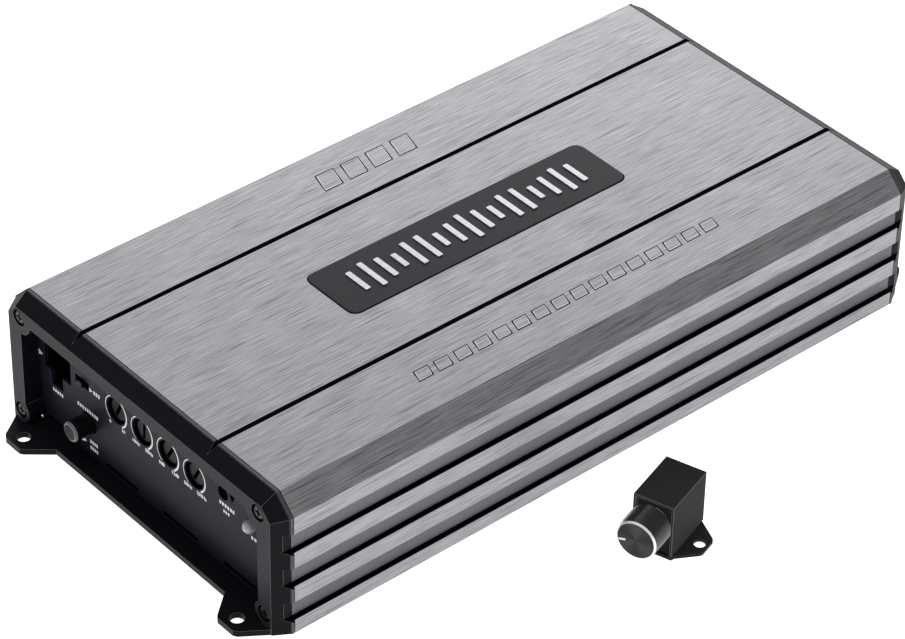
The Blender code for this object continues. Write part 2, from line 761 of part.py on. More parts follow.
def transistor_row(name, side):
    """Power transistors pressed to a side wall by one clamp bar."""
    wall = WALL_INNER_Y - GAP
    width, thick, tall = TRANSISTOR_SIZE
    span = (TRANSISTOR_COUNT - 1) * TRANSISTOR_PITCH / 2 + width
    foot_z = BOARD_TOP_Z + 2.0
    inner = wall - thick + 0.2
    near, far = sorted((side * inner, side * (inner - CLAMP_BAR_THICKNESS)))
    bar_z = foot_z + tall - CLAMP_BAR_HEIGHT - 1
    row = part(name, Shape().box((-span, near, bar_z), (span, far, bar_z + CLAMP_BAR_HEIGHT)), BLACK_STEEL)
    packages = Shape()
    for i in range(TRANSISTOR_COUNT):
        x = (i - (TRANSISTOR_COUNT - 1) / 2) * TRANSISTOR_PITCH
        near, far = sorted((side * (wall - thick), side * wall))
        packages.box((x - width / 2, near, foot_z), (x + width / 2, far, foot_z + tall))
    return join(row, packages, "packages")


# --------------------------------------------------------------------- rear


def terminal_y(index):
    return TERMINAL_CENTRE_Y + (index - (TERMINAL_COUNT - 1) / 2) * TERMINAL_PITCH


def terminal_half_width():
    return TERMINAL_COUNT * TERMINAL_PITCH / 2 + 1.5


def connector_panel():
    face = panel("connector_panel", REAR_END)
    outer = BODY_LENGTH / 2
    low, high = outer - PANEL_INSET - PANEL_THICKNESS - 1, outer + 1
    half = terminal_half_width() + GAP
    windows = Shape().box(
        (low, TERMINAL_CENTRE_Y - half, BOARD_TOP_Z),
        (high, TERMINAL_CENTRE_Y + half, TERMINAL_TOP_Z + GAP),
    )
    half = FUSE_HOLDER_HALF_WIDTH + GAP
    windows.box(
        (low, FUSE_CENTRE_Y - half, BOARD_TOP_Z),
        (high, FUSE_CENTRE_Y + half, fuse_holder_top() + GAP),
    )
    return cut(face, windows, "windows")


def terminal_block():
    half = terminal_half_width()
    bottom = BOARD_TOP_Z + GAP
    body = Shape().box(
        (TERMINAL_X[0], TERMINAL_CENTRE_Y - half, bottom),
        (TERMINAL_X[1], TERMINAL_CENTRE_Y + half, TERMINAL_TOP_Z),
    )
    block = part("terminal_block", body, BLACK_PLASTIC)
    chambers = Shape()
    bores = Shape()
    half_chamber = CHAMBER_SIZE[0] / 2
    ceiling = CHAMBER_FLOOR_Z + CHAMBER_SIZE[1]
    for i in range(TERMINAL_COUNT):
        y = terminal_y(i)
        high = (TERMINAL_X[1] + 1, y + half_chamber, ceiling)
        chambers.box((CHAMBER_X, y - half_chamber, CHAMBER_FLOOR_Z), high)
        bores.rod("Z", (TERMINAL_SCREW_X, y), TERMINAL_BORE_RADIUS, ceiling - 1, TERMINAL_TOP_Z + 1)
    cut(block, chambers, "chambers")
    return cut(block, bores, "bores")


def clamp_pad_top():
    return CHAMBER_FLOOR_Z + CHAMBER_SIZE[1] - GAP


def terminal_screw(index):
    """A set screw above its wire chamber, turned with a hexagon key."""
    bottom = clamp_pad_top() + GAP
    at = (TERMINAL_SCREW_X, terminal_y(index), bottom)
    r, top = TERMINAL_SCREW_RADIUS, TERMINAL_SCREW_LENGTH
    profile = [(0, top), (r - 0.4, top), (r, top - 0.4), (r, 0.4), (r - 0.4, 0), (0, 0)]
    screw = turned(f"terminal_screw_{index + 1}", profile, BRIGHT_STEEL, sides=SMALL_SIDES, at=at)
    hexagon = arc((0, 0), 1.5, 0, 300, 5)
    return cut(screw, Shape().prism("Z", hexagon, top - 3, top + 1), "socket")


def wire_clamp(index):
    """The pad under a terminal screw, which the screw presses on the wire."""
    length, width, thick = CLAMP_PAD_SIZE
    pad = Shape().box((-length / 2, -width / 2, -thick), (length / 2, width / 2, 0))
    at = (TERMINAL_SCREW_X, terminal_y(index), clamp_pad_top())
    return soften(part(f"wire_clamp_{index + 1}", pad, BRASS, at=at), 0.3)


def fuse_holder_top():
    return FUSE_Z[-1] + FUSE_BODY[2] / 2 + 1.8


def fuse_blades(grow):
    """The two blades of a fuse at the origin, which point to -X, each side grown by this much."""
    length, width, thick = FUSE_BLADE
    blades = Shape()
    for side in (-1, 1):
        y = side * FUSE_BLADE_SPREAD
        low = (-length - grow, y - width / 2 - grow, -thick / 2 - grow)
        blades.box(low, (0.5, y + width / 2 + grow, thick / 2 + grow))
    return blades


def fuse_place(z):
    """The middle of a fuse body's inner end."""
    return (FUSE_HOLDER_X[1] - FUSE_SEAT_DEPTH + GAP, FUSE_CENTRE_Y, z)


def fuse_holder():
    half = FUSE_HOLDER_HALF_WIDTH
    low = (FUSE_HOLDER_X[0], FUSE_CENTRE_Y - half, BOARD_TOP_Z + GAP)
    high = (FUSE_HOLDER_X[1], FUSE_CENTRE_Y + half, fuse_holder_top())
    holder = part("fuse_holder", Shape().box(low, high), BLACK_PLASTIC)
    seats = Shape()
    half_y = FUSE_BODY[1] / 2 + GAP
    half_z = FUSE_BODY[2] / 2 + GAP
    for z in FUSE_Z:
        low = (fuse_place(z)[0] - GAP, FUSE_CENTRE_Y - half_y, z - half_z)
        high = (FUSE_HOLDER_X[1] + 1, FUSE_CENTRE_Y + half_y, z + half_z)
        seats.box(low, high)
    cut(holder, seats, "seats")
    for number, z in enumerate(FUSE_Z, 1):
        blades = fuse_blades(GAP)
        bmesh.ops.translate(blades.mesh, verts=blades.mesh.verts, vec=Vector(fuse_place(z)) * MM)
        cut(holder, blades, f"slots_{number}")
    return holder


def fuse(number, z):
    """A blade fuse, pulled out towards +X."""
    length, width, thick = FUSE_BODY
    body = Shape().box((0, -width / 2, -thick / 2), (length, width / 2, thick / 2))
    obj = part(f"blade_fuse_{number}", body, FUSE_AMBER, at=fuse_place(z))
    return join(obj, fuse_blades(0), "blades")


# ------------------------------------------------------------ level control


def remote_frame():
    frame = bpy.data.objects.new("level_control_frame", None)
    return place(frame, PARTS, at=(*REMOTE_PLACE, 0), turn=(0, 0, REMOTE_TURN))


def ear_outline():
    """The base sheet seen from above, with one ear on each side."""
    half_width = REMOTE_SIZE[1] / 2
    tip = half_width + EAR_REACH
    half = [
        (-REMOTE_SIZE[0] / 2, half_width),
        (EAR_CENTRE_X - EAR_BASE_HALF, half_width + 0.6),
        (EAR_CENTRE_X - EAR_TIP_HALF - 1.2, tip - 0.6),
        (EAR_CENTRE_X - EAR_TIP_HALF, tip),
        (EAR_CENTRE_X + EAR_TIP_HALF, tip),
        (EAR_CENTRE_X + EAR_TIP_HALF + 1.2, tip - 0.6),
        (EAR_CENTRE_X + EAR_BASE_HALF, half_width),
        (REMOTE_SIZE[0] / 2 - 0.6, half_width),
    ]
    return half + [(x, -y) for x, y in reversed(half)]


def remote_base(frame):
    """The bent sheet that carries the control: floor, ears, front plate and rear plate."""
    base = part("remote_base", Shape().prism("Z", ear_outline(), 0, BASE_SHEET), POWDER_BLACK, parent=frame)
    half = REMOTE_SIZE[1] / 2 - SHEET - GAP
    uprights = Shape()
    for low, high in (FRONT_PLATE_X, REAR_PLATE_X):
        uprights.box((low, -half, BASE_SHEET - 0.4), (high, half, UPRIGHT_TOP_Z))
    join(base, uprights, "uprights")
    holes = Shape()
    holes.rod("X", (0, KNOB_Z), BUSHING_RADIUS + GAP, FRONT_PLATE_X[0] - 1, FRONT_PLATE_X[1] + 1)
    holes.rod("X", (0, CABLE_SOCKET_Z), 3.3, REAR_PLATE_X[0] - 1, REAR_PLATE_X[1] + 1)
    for side in (-1, 1):
        y = side * (REMOTE_SIZE[1] / 2 + EAR_HOLE_OUT)
        holes.rod("Z", (EAR_CENTRE_X, y), EAR_HOLE_RADIUS, -1, BASE_SHEET + 1)
    return cut(base, holes, "holes")


def remote_cover(frame):
    """The folded lid: a top and two sides."""
    half_length, half_width, top = REMOTE_SIZE[0] / 2, REMOTE_SIZE[1] / 2, REMOTE_SIZE[2]
    half = [
        (half_width, top),
        (half_width, BASE_SHEET + GAP),
        (half_width - SHEET, BASE_SHEET + GAP),
        (half_width - SHEET, top - SHEET),
    ]
    shell = Shape().prism("X", mirrored(half), -half_length, half_length)
    return part("remote_cover", shell, POWDER_BLACK, parent=frame)


def remote_knob(frame):
    """A turned knob. Its axis is its own Z, which faces the user."""
    length = KNOB_X[1] - KNOB_X[0]
    profile = [
        (0, length),
        (KNOB_RADIUS - KNOB_CHAMFER, length),
        (KNOB_RADIUS, length - KNOB_CHAMFER),
        (KNOB_RADIUS, 0.6),
        (KNOB_RADIUS - 0.6, 0),
        (BUSHING_RADIUS + 1.2, 0),
        (BUSHING_RADIUS + 1.2, 2.4),
        (SHAFT_RADIUS + GAP, 2.4),
        (SHAFT_RADIUS + GAP, length - 2.2),
        (0, length - 2.2),
    ]
    at = (KNOB_X[1], 0, KNOB_Z)
    return turned("remote_knob", profile, ANODISED, sides=32, at=at, turn=(0, -math.pi / 2, 0), parent=frame)


def remote_shaft(frame):
    """The potentiometer's shaft, from inside its body into the knob."""
    r, length = SHAFT_RADIUS, SHAFT_LENGTH
    profile = [(0, length), (r - 0.3, length), (r, length - 0.3), (r, 0), (0, 0)]
    at, turn = (SHAFT_START_X, 0, KNOB_Z), (0, -math.pi / 2, 0)
    return turned("remote_shaft", profile, BRIGHT_STEEL, SMALL_SIDES, at=at, turn=turn, parent=frame)


def remote_inside(frame):
    """The potentiometer, its nut, the small board and the cable socket."""
    body = Shape().box((-9.3, -6.2, KNOB_Z - 6.2), (-2.6, 6.2, KNOB_Z + 6.2))
    pot = part("remote_pot", body, BRIGHT_STEEL, parent=frame)
    join(pot, Shape().rod("X", (0, KNOB_Z), BUSHING_RADIUS, -14.2, -8.8), "bushing")
    cut(pot, Shape().rod("X", (0, KNOB_Z), SHAFT_RADIUS + GAP, -15.2, -3.9), "bore")

    hexagon = [(y, KNOB_Z + z) for y, z in arc((0, 0), 5.2, 0, 300, 5)]
    nut = part("remote_nut", Shape().prism("X", hexagon, -12.2, -10.9), BRIGHT_STEEL, parent=frame)
    cut(nut, Shape().rod("X", (0, KNOB_Z), BUSHING_RADIUS + GAP, -13, -10), "bore")

    board = Shape().box((-9.2, -6.4, 2.2), (9.2, 6.4, 3.6))
    part("remote_board", board, BOARD_GREEN, parent=frame)

    socket = part("remote_jack", Shape().box((1.2, -4.6, 3.9), (9.3, 4.6, 13.6)), BLACK_PLASTIC, parent=frame)
    join(socket, Shape().rod("X", (0, CABLE_SOCKET_Z), 3.0, 8.8, 10.9), "collar")
    cut(socket, Shape().rod("X", (0, CABLE_SOCKET_Z), JACK_BORE_RADIUS, 2.4, 11.9), "bore")


# --------------------------------------------------------------------- build

for leftover in list(bpy.data.objects):
    bpy.data.objects.remove(leftover)

PARTS = bpy.data.collections.new("car_amplifier")
CUTTERS = bpy.data.collections.new("cutters")
for group in (PARTS, CUTTERS):
    bpy.context.scene.collection.children.link(group)

ALUMINIUM = finish("brushed_aluminium", (0.42, 0.42, 0.45), 0.35, 1.0)
CAST_BLACK = finish("black_casting", (0.012, 0.012, 0.015), 0.5, 0.3)
BLACK_METAL = finish("black_sheet", (0.015, 0.015, 0.016), 0.55, 0.3)
PANEL_BLACK = finish("blue_black_panel", (0.008, 0.009, 0.013), 0.45)
BLACK_STEEL = finish("blackened_steel", (0.02, 0.02, 0.022), 0.4, 0.8)
BRIGHT_STEEL = finish("nickel_plated_steel", (0.6, 0.6, 0.6), 0.3, 1.0)
BRASS = finish("brass", (0.6, 0.45, 0.2), 0.35, 1.0)
BLACK_PLASTIC = finish("black_plastic", (0.01, 0.01, 0.011), 0.45)
DARK_PLASTIC = finish("dark_grey_plastic", (0.03, 0.03, 0.035), 0.5)
CLEAR = finish("clear_plastic", (0.75, 0.77, 0.8), 0.15)
BOARD_GREEN = finish("circuit_board", (0.02, 0.12, 0.05), 0.5)
SLEEVE = finish("capacitor_sleeve", (0.01, 0.015, 0.04), 0.4)
COPPER = finish("enamelled_copper", (0.5, 0.2, 0.07), 0.35, 0.7)
FUSE_AMBER = finish("fuse_plastic", (0.7, 0.25, 0.02), 0.3)
POWDER_BLACK = finish("powder_coat", (0.02, 0.02, 0.02), 0.6)
ANODISED = finish("black_anodised", (0.02, 0.02, 0.022), 0.35, 0.8)

heatsink()
bottom_plate()
badge()
for cap_name, cap_end in (("front", FRONT_END), ("rear", REAR_END)):
    end_cap(f"{cap_name}_end_cap", cap_end)
    for screw_number, screw_place in enumerate(cap_screw_places(), 1):
        cap_screw(f"{cap_name}_cap_screw_{screw_number}", cap_end, screw_place)

control_panel()
for dial_index, dial_name in enumerate(DIAL_NAMES):
    dial(f"{dial_name}_dial", dial_index)
    trimmer_body(f"{dial_name}_trimmer", dial_index)
input_socket()
filter_switch()
level_switch()
remote_socket()
status_led()

boards()
toroid("power_transformer", TRANSFORMER_XY, TRANSFORMER_RADII, TRANSFORMER_HEIGHT, COPPER)
toroid("output_inductor", INDUCTOR_XY, INDUCTOR_RADII, INDUCTOR_HEIGHT, COPPER)
for capacitor_number, capacitor_y in enumerate(CAPACITOR_Y, 1):
    capacitor(f"reservoir_capacitor_{capacitor_number}", capacitor_y)
transistor_row("transistor_row_left", 1)
transistor_row("transistor_row_right", -1)

connector_panel()
terminal_block()
for terminal in range(TERMINAL_COUNT):
    terminal_screw(terminal)
    wire_clamp(terminal)
fuse_holder()
for fuse_number, fuse_z in enumerate(FUSE_Z, 1):
    fuse(fuse_number, fuse_z)

level_control = remote_frame()
remote_base(level_control)
remote_cover(level_control)
remote_knob(level_control)
remote_shaft(level_control)
remote_inside(level_control)
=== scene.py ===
"""The looks of a car amplifier and its wired level control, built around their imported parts.

Everything is in metres, in the parts' own frame: +X runs along the housing from the control panel to the
connector panel, +Z is up, and the origin is the middle of the underside.
"""

import json
import math

import bmesh
import bpy
from mathutils import Matrix, Vector

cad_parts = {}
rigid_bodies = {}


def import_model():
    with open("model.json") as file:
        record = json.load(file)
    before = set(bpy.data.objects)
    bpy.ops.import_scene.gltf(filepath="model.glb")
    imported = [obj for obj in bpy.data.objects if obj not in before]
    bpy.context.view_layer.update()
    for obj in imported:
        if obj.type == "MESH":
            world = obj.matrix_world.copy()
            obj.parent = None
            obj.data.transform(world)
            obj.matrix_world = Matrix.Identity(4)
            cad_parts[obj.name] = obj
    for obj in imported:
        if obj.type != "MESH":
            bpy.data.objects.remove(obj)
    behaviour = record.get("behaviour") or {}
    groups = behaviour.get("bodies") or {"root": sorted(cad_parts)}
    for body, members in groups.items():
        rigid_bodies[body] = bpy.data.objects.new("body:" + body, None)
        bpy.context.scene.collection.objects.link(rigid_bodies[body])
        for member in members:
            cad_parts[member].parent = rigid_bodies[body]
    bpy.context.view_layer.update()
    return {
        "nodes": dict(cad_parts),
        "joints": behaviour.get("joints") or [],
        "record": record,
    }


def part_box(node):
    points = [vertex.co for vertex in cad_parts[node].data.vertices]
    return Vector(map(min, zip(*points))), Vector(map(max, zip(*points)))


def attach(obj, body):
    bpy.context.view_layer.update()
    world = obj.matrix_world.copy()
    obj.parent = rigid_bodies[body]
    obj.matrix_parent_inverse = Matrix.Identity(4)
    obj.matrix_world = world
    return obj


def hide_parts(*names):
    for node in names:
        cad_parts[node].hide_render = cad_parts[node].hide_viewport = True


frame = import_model()

MM = 0.001

# ------------------------------------------------------- places, from the frame

NODE_BODY = {
    node: body
    for body, nodes in frame["record"]["behaviour"]["bodies"].items()
    for node in nodes
}
NODE_SLOT = {part["node"]: part["material_slot"] for part in frame["record"]["subparts"]}
JOINTS = {joint["name"]: joint for joint in frame["joints"]}

DIALS = ("gain", "subsonic", "bass", "low_pass")
PANEL_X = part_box("control_panel")[0].x
REAR_PANEL_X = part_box("connector_panel")[1].x
LID_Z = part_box("heatsink_shell")[1].z
PRINT = 0.05 * MM  # how far a printed mark stands off its surface


def middle(node):
    """The middle of a node's box."""
    low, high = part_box(node)
    return (low + high) / 2


# -------------------------------------------------------------------- materials

NOISE_SPAN = (0.3, 0.7)  # the range in which most noise values lie
DARK_STROKES = (0.32, 0.4)  # strokes are darkest where noise is below the first, and end at the second
# Painted sheen: the knob face's colour is made lighter and darker in sectors.
PAINTED_SHEEN_SECTORS = 3  # pairs of light and dark sectors on a turned face


class Look:
    """A Principled material, with noise that varies its colour, roughness and height."""

    def __init__(self, name, colour, roughness, metallic=0.0, specular=0.5, coat=0.0):
        self.material = bpy.data.materials.new(name)
        self.material.use_nodes = True
        self.tree = self.material.node_tree
        self.shader = self.tree.nodes["Principled BSDF"]
        self.value("Base Color", (*colour, 1))
        self.value("Roughness", roughness)
        self.value("Metallic", metallic)
        self.value("Specular IOR Level", specular)
        self.value("Coat Weight", coat)
        self.colour = colour

    def value(self, socket, value):
        """Sets one of the shader's own sockets."""
        self.shader.inputs[socket].default_value = value
        return self

    def node(self, kind, **inputs):
        """A new node with these input values."""
        made = self.tree.nodes.new(kind)
        for name, value in inputs.items():
            made.inputs[name].default_value = value
        return made

    def noise(self, scale, detail=2.0, rough=0.5, stretch=(1, 1, 1)):
        """Noise of so many features a metre along each axis."""
        place = self.node("ShaderNodeTexCoord")
        mapping = self.node("ShaderNodeMapping", Scale=stretch)
        noise = self.node("ShaderNodeTexNoise", Scale=scale, Detail=detail, Roughness=rough)
        self.tree.links.new(place.outputs["Object"], mapping.inputs["Vector"])
        self.tree.links.new(mapping.outputs["Vector"], noise.inputs["Vector"])
        return noise.outputs["Fac"]

    def spread(self, source, low, high, to_low, to_high):
        """Maps a range of the source to another range."""
        mapped = self.node("ShaderNodeMapRange")
        ends = {"From Min": low, "From Max": high, "To Min": to_low, "To Max": to_high}
        for socket, value in ends.items():
            mapped.inputs[socket].default_value = value
        self.tree.links.new(source, mapped.inputs["Value"])
        return mapped.outputs["Result"]

    def times(self, first, second):
        """The product of two outputs."""
        product = self.node("ShaderNodeMath")
        product.operation = "MULTIPLY"
        self.tree.links.new(first, product.inputs[0])
        self.tree.links.new(second, product.inputs[1])
        return product.outputs[0]

    def shade(self, factor, low, high):
        """Varies the colour between two shares of itself."""
        mix = self.node("ShaderNodeMix")
        mix.data_type = "RGBA"
        for socket, share in (("A", low), ("B", high)):
            colour = [min(1, c * share) for c in self.colour]
            found = [s for s in mix.inputs if s.name == socket and s.type == "RGBA"][0]
            found.default_value = (*colour, 1)
        self.tree.links.new(factor, mix.inputs["Factor"])
        found = [s for s in mix.outputs if s.type == "RGBA"][0]
        self.tree.links.new(found, self.shader.inputs["Base Color"])
        return self

    def gloss(self, factor, low, high):
        """Varies the roughness between two values."""
        roughness = self.spread(factor, *NOISE_SPAN, low, high)
        self.tree.links.new(roughness, self.shader.inputs["Roughness"])
        return self

    def bump(self, height, distance, strength=1.0):
        """Adds relief of this depth in metres."""
        bump = self.node("ShaderNodeBump", Strength=strength, Distance=distance)
        self.tree.links.new(height, bump.inputs["Height"])
        self.tree.links.new(bump.outputs["Normal"], self.shader.inputs["Normal"])
        return self


def brushed(name, colour, roughness, line_depth, stroke_depth):
    """Metal brushed along X: fine lines with sparse dark strokes, broad bands and faint clouds."""
    look = Look(name, colour, roughness, metallic=1.0)
    lines = look.noise(1.0, detail=4.0, rough=0.75, stretch=(55, 2400, 2400))
    strokes = look.noise(1.0, detail=1.0, rough=0.5, stretch=(42, 1650, 1650))
    bands = look.noise(1.0, detail=2.0, rough=0.6, stretch=(9, 900, 900))
    clouds = look.noise(38.0, detail=2.0)
    tone = look.times(
        look.spread(lines, *NOISE_SPAN, line_depth, 1.0),
        look.spread(strokes, *DARK_STROKES, stroke_depth, 1.0),
    )
    tone = look.times(tone, look.spread(bands, *NOISE_SPAN, 0.9, 1.0))
    tone = look.times(tone, look.spread(clouds, *NOISE_SPAN, 0.93, 1.0))
    look.shade(tone, 0.0, 1.35)
    look.gloss(lines, roughness - 0.07, roughness + 0.09)
    look.bump(lines, 0.012 * MM, 0.6)
    return look


def grained(name, colour, roughness, grain, depth, metallic=0.0, specular=0.5):
    """A surface with an even fine grain of this size, as on paint, castings and moulded plastic."""
    look = Look(name, colour, roughness, metallic, specular)
    fine = look.noise(1 / grain, detail=3.0, rough=0.6)
    broad = look.noise(35.0, detail=2.0)
    look.shade(broad, 0.8, 1.2)
    look.gloss(fine, roughness - 0.06, roughness + 0.06)
    look.bump(fine, depth)
    return look


def turned_black(name):
    """Black anodised metal faced on a lathe: fine rings, and painted sheen: light and dark sectors in
    its colour.
    """
    look = Look(name, (0.035, 0.035, 0.036), 0.34, metallic=0.9)
    look.value("Anisotropic", 0.85)
    tangent = look.node("ShaderNodeTangent")
    tangent.direction_type = "RADIAL"
    tangent.axis = "Z"
    look.tree.links.new(tangent.outputs["Tangent"], look.shader.inputs["Tangent"])
    place = look.node("ShaderNodeTexCoord")
    rings = look.node("ShaderNodeTexWave", Scale=900.0)
    rings.wave_type = "RINGS"
    rings.rings_direction = "Z"
    turn = look.node("ShaderNodeTexGradient")
    turn.gradient_type = "RADIAL"
    for texture in (rings, turn):
        look.tree.links.new(place.outputs["Object"], texture.inputs["Vector"])
    # painted sheen: the colour goes lighter and darker by the angle round the face
    sectors = look.node("ShaderNodeMath")
    sectors.operation = "SINE"
    phase = look.spread(turn.outputs["Fac"], 0.0, 1.0, 0.0, PAINTED_SHEEN_SECTORS * math.tau)
    look.tree.links.new(phase, sectors.inputs[0])
    tone = look.times(
        look.spread(sectors.outputs[0], -1.0, 1.0, 0.5, 1.0),
        look.spread(rings.outputs["Fac"], 0.0, 1.0, 0.85, 1.0),
    )
    look.shade(tone, 0.0, 1.25)
    look.bump(rings.outputs["Fac"], 0.01 * MM, 0.5)
    return look


def make_looks():
    """Every material by its look's name. The CAD slots' looks carry the slots' names."""
    looks = {
        "brushed_aluminium": brushed("brushed_aluminium", (0.347, 0.346, 0.363), 0.36, 0.36, 0.6),
        # The badge's bright letters; also the painted highlight beside the lid's cut outlines
        "bright_letter": brushed("bright_letter", (0.47, 0.475, 0.49), 0.4, 0.86, 0.85),
    }
    plain = {
        # name: colour, roughness, grain and its depth in mm, metallic, specular
        "fin_band": ((0.13, 0.13, 0.145), 0.5, 0.35, 0.004, 0.5, 0.4),
        # painted shade: the black of the heatsink's slots and lid grooves, and of the lid's cut outlines
        "dark_groove": ((0.004, 0.004, 0.005), 0.6, 0.4, 0.01, 0.0, 0.1),
        "black_casting": ((0.0042, 0.0044, 0.0062), 0.5, 0.5, 0.03, 0.0, 0.07),
        # painted light: the caps' rim faces, a lighter copy of the casting where the faces catch the
        # light
        "painted_light_rim_face": ((0.0115, 0.012, 0.0165), 0.48, 0.5, 0.03, 0.0, 0.14),
        # the caps' lips: smoother and shinier than the casting, and painted lighter as if lit
        "cap_lip_painted_light": ((0.035, 0.035, 0.04), 0.4, 0.4, 0.01, 0.0, 0.45),
        # painted highlight: a lighter copy of the casting on the caps' and the button's rounded edges
        "painted_highlight_edge": ((0.11, 0.11, 0.125), 0.4, 0.4, 0.01, 0.0, 0.5),
        "black_sheet": ((0.006, 0.006, 0.007), 0.55, 0.4, 0.01, 0.0, 0.2),
        "blue_black_panel": ((0.0085, 0.0088, 0.0155), 0.42, 0.25, 0.006, 0.0, 0.09),
        "blackened_steel": ((0.03, 0.03, 0.032), 0.34, 0.3, 0.006, 0.8, 0.5),
        "nickel_plated_steel": ((0.6, 0.59, 0.57), 0.28, 0.4, 0.004, 1.0, 0.5),
        "brass": ((0.62, 0.45, 0.2), 0.34, 0.4, 0.005, 1.0, 0.5),
        "black_plastic": ((0.0035, 0.0035, 0.004), 0.36, 0.3, 0.008, 0.0, 0.1),
        "dark_grey_plastic": ((0.022, 0.022, 0.025), 0.42, 0.3, 0.006, 0.0, 0.2),
        "badge_black": ((0.011, 0.0108, 0.0145), 0.32, 0.35, 0.004, 0.0, 0.16),
        "circuit_board": ((0.02, 0.12, 0.05), 0.45, 0.8, 0.01, 0.0, 0.5),
        "capacitor_sleeve": ((0.01, 0.015, 0.04), 0.35, 0.6, 0.005, 0.0, 0.5),
        "fuse_plastic": ((0.75, 0.24, 0.015), 0.25, 0.8, 0.004, 0.0, 0.5),
        "powder_coat": ((0.0165, 0.0165, 0.0165), 0.55, 0.45, 0.02, 0.0, 0.045),
        # painted highlight: a lighter, shinier copy of the powder coat on the level control's rounded
        # edges
        "powder_painted_highlight_edge": ((0.05, 0.05, 0.05), 0.4, 0.45, 0.01, 0.0, 0.4),
        "black_anodised": ((0.03, 0.03, 0.031), 0.3, 0.3, 0.004, 0.8, 0.5),
        "bright_chamfer": ((0.95, 0.95, 0.95), 0.3, 0.3, 0.002, 0.6, 0.5),
        "frosted_grey": ((0.42, 0.42, 0.43), 0.3, 0.5, 0.004, 0.0, 0.5),
        "white_print": ((0.72, 0.72, 0.73), 0.5, 0.2, 0.002, 0.0, 0.4),
    }
    for name, (colour, roughness, grain, depth, metallic, specular) in plain.items():
        looks[name] = grained(name, colour, roughness, grain * MM, depth * MM, metallic, specular)
    looks["turned_black"] = turned_black("turned_black")
    clear = Look("clear_plastic", (0.42, 0.43, 0.46), 0.25, coat=0.6)
    clear.value("Transmission Weight", 0.3)
    clear.shade(clear.noise(900.0, detail=2.0), 0.85, 1.1)
    looks["clear_plastic"] = clear
    copper = Look("enamelled_copper", (0.5, 0.2, 0.07), 0.3, metallic=0.7, coat=0.5)
    turns = copper.noise(420.0, detail=1.0)
    copper.shade(turns, 0.4, 1.2).bump(turns, 0.4 * MM)
    looks["enamelled_copper"] = copper
    return {name: look.material for name, look in looks.items()}


LOOKS = make_looks()

for cad_node, cad_object in frame["nodes"].items():
    cad_object.data.materials.clear()
    cad_object.data.materials.append(LOOKS[NODE_SLOT[cad_node]])


# --------------------------------------------------------------------- geometry

BEVEL_FROM_DEG = 30  # edges this sharp or sharper are rounded
FLAT_WITHIN_DEG = 0.8  # facets that differ by less are merged into one face
WELD = 1e-6  # metres, between corners that are the same
FINE_WELD = 1e-7  # the same, for prints and badge bars
TEXT_BOLDNESS = 0.035  # how much wider a printed sign's strokes are, as a share of its height


def piece(name, mesh, looks, body, replaced=(), place=None):
    """A new visible piece on a body. The looks are the mesh's materials in order."""
    obj = bpy.data.objects.new(name, mesh)
    bpy.context.scene.collection.objects.link(obj)
    for look in looks if isinstance(looks, list) else [looks]:
        obj.data.materials.append(LOOKS[look])
    if place is not None:
        obj.matrix_world = place
        bpy.context.view_layer.update()
    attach(obj, body)
    if replaced:
        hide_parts(*replaced)
    return obj


def bevelled(obj, width, segments=2, edge_look=None):
    """Rounds the edges, with flat faces kept flat by their normals."""
    for polygon in obj.data.polygons:
        polygon.use_smooth = True
    bevel = obj.modifiers.new("edges", "BEVEL")
    bevel.width = width
    bevel.segments = segments
    bevel.limit_method = "ANGLE"
    bevel.angle_limit = math.radians(BEVEL_FROM_DEG)
    if edge_look:
        obj.data.materials.append(LOOKS[edge_look])
        bevel.material = len(obj.data.materials) - 1
    normals = obj.modifiers.new("normals", "WEIGHTED_NORMAL")
    normals.mode = "FACE_AREA"
    normals.weight = 100
    return obj


def refined(node, width, choose=None, edge_look=None):
    """A CAD node's shape with clean faces and rounded edges. "choose" names the look of each face."""
    work = bmesh.new()
    work.from_mesh(frame["nodes"][node].data)
    bmesh.ops.remove_doubles(work, verts=work.verts, dist=WELD)
    flat_within = math.radians(FLAT_WITHIN_DEG)
    bmesh.ops.dissolve_limit(work, angle_limit=flat_within, verts=work.verts, edges=work.edges)
    work.normal_update()
    slot = NODE_SLOT[node]
    looks = [slot]
    if choose:
        for face in work.faces:
            look = choose(face.calc_center_median(), face.normal) or slot
            if look not in looks:
                looks.append(look)
            face.material_index = looks.index(look)
    mesh = bpy.data.meshes.new(node + "_refined")
    work.to_mesh(mesh)
    work.free()
    made = piece(node + "_refined", mesh, looks, NODE_BODY[node], [node])
    return bevelled(made, width, edge_look=edge_look)


